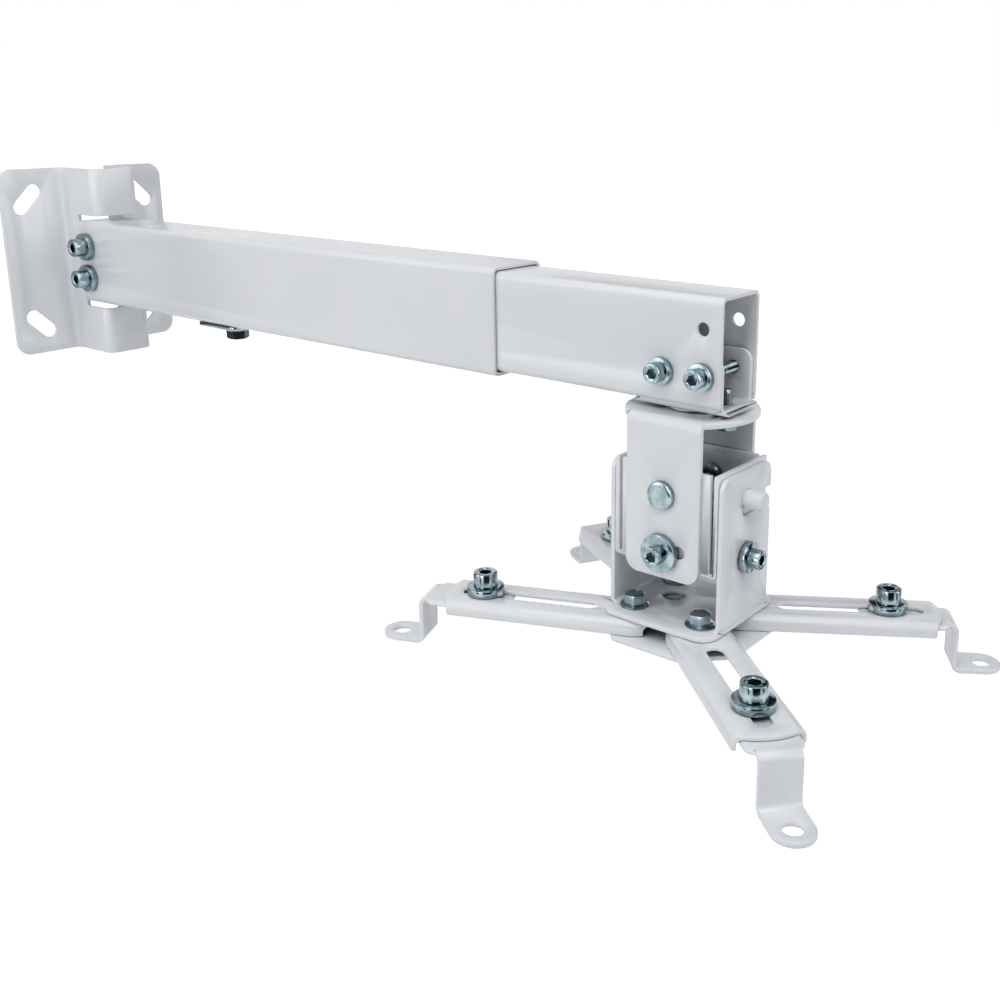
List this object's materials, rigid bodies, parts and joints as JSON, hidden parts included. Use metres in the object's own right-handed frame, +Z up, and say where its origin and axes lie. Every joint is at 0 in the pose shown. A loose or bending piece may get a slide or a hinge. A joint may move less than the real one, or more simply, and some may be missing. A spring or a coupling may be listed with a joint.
{
  "type": "projector wall and ceiling mount",
  "caption": "Steel projector mount: folded wall plate, telescoping square-section arm, tilting and swivelling head, and swinging slotted legs with sliding screw feet.",
  "frame": {"origin": "middle of the wall plate's back face, on the wall", "axes": "+X straight out of the wall along the arm, +Y to the mount's left as seen from the wall, +Z up"},
  "size_m": [0.6857, 0.2092, 0.238],
  "materials": {
    "white_paint": "glossy powder coat",
    "zinc": "bright zinc plating",
    "black_steel": "black oxide"
  },
  "bodies": {
    "wall_side": {"wall_plate": "white_paint", "outer_tube": "white_paint", "plate_screws": "zinc", "plate_washers": "zinc", "plate_nuts": "zinc"},
    "sliding_arm": {"inner_tube": "white_paint", "lock_bolt": "black_steel", "lock_washers": "zinc", "lock_strip": "zinc", "lock_nut": "zinc", "swivel_bracket": "white_paint", "bracket_screws": "zinc", "bracket_washers": "zinc", "swivel_pin": "white_paint", "swivel_spacer": "white_paint", "swivel_bolt": "zinc", "swivel_washer": "zinc"},
    "swivel_yoke": {"yoke": "white_paint", "tilt_rivets": "zinc"},
    "tilt_head": {"tilt_box": "white_paint", "tilt_screws": "zinc", "tilt_washers": "zinc", "tilt_nuts": "zinc", "roll_rod": "white_paint", "roll_screws": "zinc", "roll_washers": "zinc", "roll_nuts": "zinc"},
    "hook_base": {"hook_bracket": "white_paint", "leg_plate": "white_paint", "leg_bolts": "zinc", "leg_nuts": "zinc"},
    "leg_1": {"leg_arm_1": "white_paint"},
    "foot_group_1": {"foot_1": "white_paint", "foot_screw_1": "zinc", "foot_washer_1": "zinc", "foot_nut_1": "zinc"},
    "leg_2": {"leg_arm_2": "white_paint"},
    "foot_group_2": {"foot_2": "white_paint", "foot_screw_2": "zinc", "foot_washer_2": "zinc", "foot_nut_2": "zinc"},
    "leg_3": {"leg_arm_3": "white_paint"},
    "foot_group_3": {"foot_3": "white_paint", "foot_screw_3": "zinc", "foot_washer_3": "zinc", "foot_nut_3": "zinc"},
    "leg_4": {"leg_arm_4": "white_paint"},
    "foot_group_4": {"foot_4": "white_paint", "foot_screw_4": "zinc", "foot_washer_4": "zinc", "foot_nut_4": "zinc"}
  },
  "joints": [
    {"name": "arm_extend", "type": "slide", "parent": "wall_side", "child": "sliding_arm", "axis": [1, 0, 0], "range_m": [-0.088, 0.08]},
    {"name": "head_swivel", "type": "hinge", "parent": "sliding_arm", "child": "swivel_yoke", "pos_m": [0.549, 0, -0.0321], "axis": [0, 0, 1], "range_deg": [-45, 45]},
    {"name": "head_tilt", "type": "hinge", "parent": "swivel_yoke", "child": "tilt_head", "pos_m": [0.549, 0, -0.0715], "axis": [0, -1, 0], "range_deg": [-13, 14.5]},
    {"name": "head_roll", "type": "hinge", "parent": "tilt_head", "child": "hook_base", "pos_m": [0.549, 0, -0.0735], "axis": [1, 0, 0], "range_deg": [-8, 8]},
    {"name": "leg_swing_1", "type": "hinge", "parent": "hook_base", "child": "leg_1", "pos_m": [0.529, -0.02, -0.1403], "axis": [0, 0, 1], "range_deg": [-22.4, 67.6]},
    {"name": "foot_slide_1", "type": "slide", "parent": "leg_1", "child": "foot_group_1", "axis": [-0.9245, -0.3811, 0], "range_m": [-0.05, 0.008]},
    {"name": "leg_swing_2", "type": "hinge", "parent": "hook_base", "child": "leg_2", "pos_m": [0.569, -0.02, -0.1403], "axis": [0, 0, 1], "range_deg": [-49.3, 40.7]},
    {"name": "foot_slide_2", "type": "slide", "parent": "leg_2", "child": "foot_group_2", "axis": [0.7581, -0.6521, 0], "range_m": [-0.046, 0.012]},
    {"name": "leg_swing_3", "type": "hinge", "parent": "hook_base", "child": "leg_3", "pos_m": [0.569, 0.02, -0.1403], "axis": [0, 0, 1], "range_deg": [-31.8, 58.2]},
    {"name": "foot_slide_3", "type": "slide", "parent": "leg_3", "child": "foot_group_3", "axis": [0.8499, 0.527, 0], "range_m": [-0.044, 0.014]},
    {"name": "leg_swing_4", "type": "hinge", "parent": "hook_base", "child": "leg_4", "pos_m": [0.529, 0.02, -0.1403], "axis": [0, 0, 1], "range_deg": [-60.5, 29.5]},
    {"name": "foot_slide_4", "type": "slide", "parent": "leg_4", "child": "foot_group_4", "axis": [-0.8704, 0.4924, 0], "range_m": [-0.046, 0.012]}
  ]
}
